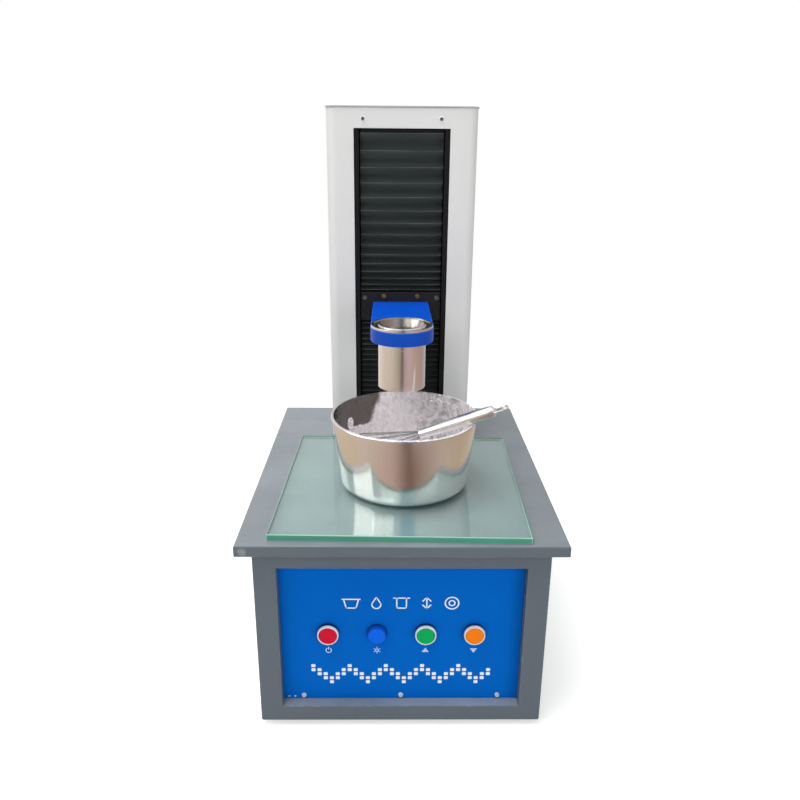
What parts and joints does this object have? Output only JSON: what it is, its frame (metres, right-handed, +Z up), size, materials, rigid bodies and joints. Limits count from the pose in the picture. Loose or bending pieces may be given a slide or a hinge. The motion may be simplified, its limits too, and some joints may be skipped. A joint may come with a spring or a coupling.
{
  "type": "plaster consistency tester",
  "caption": "Bench tester for the consistency of plaster: control cabinet, glass spreading plate, motor lift column with bellows, arm with a steel mould, mixing bowl and whisk.",
  "frame": {"origin": "on the bench under the middle of the table", "axes": "+Z up, front with the controls towards -Y, +X to the right of a person facing the controls"},
  "size_m": [0.378, 0.461, 0.73],
  "materials": {
    "rubber_black": "matt black rubber",
    "zinc_steel": "zinc plated",
    "grey_paint": "satin grey powder coat",
    "blue_panel": "satin blue overlay",
    "glass": "clear float glass with a green edge",
    "satin_bezel": "satin plated",
    "black_plastic": "matt black",
    "red_plastic": "gloss red",
    "green_plastic": "gloss green",
    "orange_plastic": "gloss orange",
    "dark_blue_plastic": "gloss dark blue",
    "blue_lens": "tinted clear blue",
    "white_paint": "satin off-white powder coat",
    "aluminium": "milled",
    "black_steel": "black oxide",
    "ground_steel": "ground",
    "black_paint": "satin black",
    "bellows_rubber": "coated black cloth",
    "brass": "turned",
    "blue_paint": "gloss blue enamel",
    "stainless": "polished stainless steel",
    "board_green": "solder mask"
  },
  "bodies": {
    "stand": {"rubber_feet": "rubber_black", "foot_screws": "zinc_steel", "foot_nuts": "zinc_steel", "cabinet_shell": "grey_paint", "floor_plate": "grey_paint", "rear_panel": "grey_paint", "rear_screws": "zinc_steel", "control_panel": "blue_panel", "panel_screws": "zinc_steel", "table_top": "grey_paint", "table_nuts": "zinc_steel", "button_bezels": "satin_bezel", "button_nuts": "zinc_steel", "contact_blocks": "black_plastic", "lamp_body": "dark_blue_plastic", "lamp_lens": "blue_lens", "column_cover": "white_paint", "column_back": "white_paint", "column_cap": "white_paint", "cover_screws": "zinc_steel", "column_foot": "aluminium", "column_head": "aluminium", "column_bolts": "black_steel", "guide_rods": "ground_steel", "bellows_rails": "black_paint", "upper_bellows": "bellows_rubber", "lower_bellows": "bellows_rubber", "switch_bar": "aluminium", "limit_switches": "black_plastic", "screw_bearings": "ground_steel", "drive_motor": "black_paint", "motor_posts": "aluminium", "power_supply": "aluminium", "motor_driver": "black_paint", "relay_board": "board_green", "power_inlet": "black_plastic"},
    "glass": {"glass_plate": "glass"},
    "carriage": {"screw_nut": "brass", "linear_bushes": "ground_steel", "lift_carriage": "aluminium", "carriage_plate": "black_paint", "plate_screws": "brass", "arm_bolts": "black_steel", "lift_arm": "blue_paint"},
    "screw": {"lead_screw": "ground_steel", "shaft_coupling": "aluminium", "motor_shaft": "ground_steel"},
    "mould": {"mould_cylinder": "stainless"},
    "power_push": {"power_button": "red_plastic"},
    "up_push": {"up_button": "green_plastic"},
    "down_push": {"down_button": "orange_plastic"},
    "bowl": {"mixing_bowl": "stainless"},
    "whisk": {"whisk_handle": "stainless", "whisk_loops": "stainless", "whisk_hanger": "stainless"}
  },
  "joints": [
    {"name": "carriage_lift", "type": "slide", "parent": "stand", "child": "carriage", "axis": [0, 0, 1], "range_m": [-0.086, 0.13], "deforming": ["upper_bellows", "lower_bellows"]},
    {"name": "screw_turn", "type": "hinge", "parent": "stand", "child": "screw", "pos_m": [0, 0.1655, 0.4], "axis": [0, 0, 1], "continuous": true},
    {"name": "mould_lift_out", "type": "slide", "parent": "carriage", "child": "mould", "axis": [0, 0, 1], "range_m": [0, 0.1]},
    {"name": "power_press", "type": "slide", "parent": "stand", "child": "power_push", "axis": [0, 1, 0], "range_m": [0, 0.003], "stiffness_N_per_m": 700},
    {"name": "up_press", "type": "slide", "parent": "stand", "child": "up_push", "axis": [0, 1, 0], "range_m": [0, 0.003], "stiffness_N_per_m": 700},
    {"name": "down_press", "type": "slide", "parent": "stand", "child": "down_push", "axis": [0, 1, 0], "range_m": [0, 0.003], "stiffness_N_per_m": 700},
    {"name": "glass_lift_off", "type": "slide", "parent": "stand", "child": "glass", "axis": [0, -0.9903, 0.1392], "range_m": [0, 0.33]},
    {"name": "bowl_lift_off", "type": "slide", "parent": "glass", "child": "bowl", "axis": [0, -0.9903, 0.1392], "range_m": [0, 0.27]},
    {"name": "whisk_lift_out", "type": "slide", "parent": "bowl", "child": "whisk", "axis": [0, -0.3, 0.9539], "range_m": [0, 0.25]}
  ],
  "couplings": [
    {"joint": "screw_turn", "follows": "carriage_lift", "rad_per_m": -628.32}
  ]
}
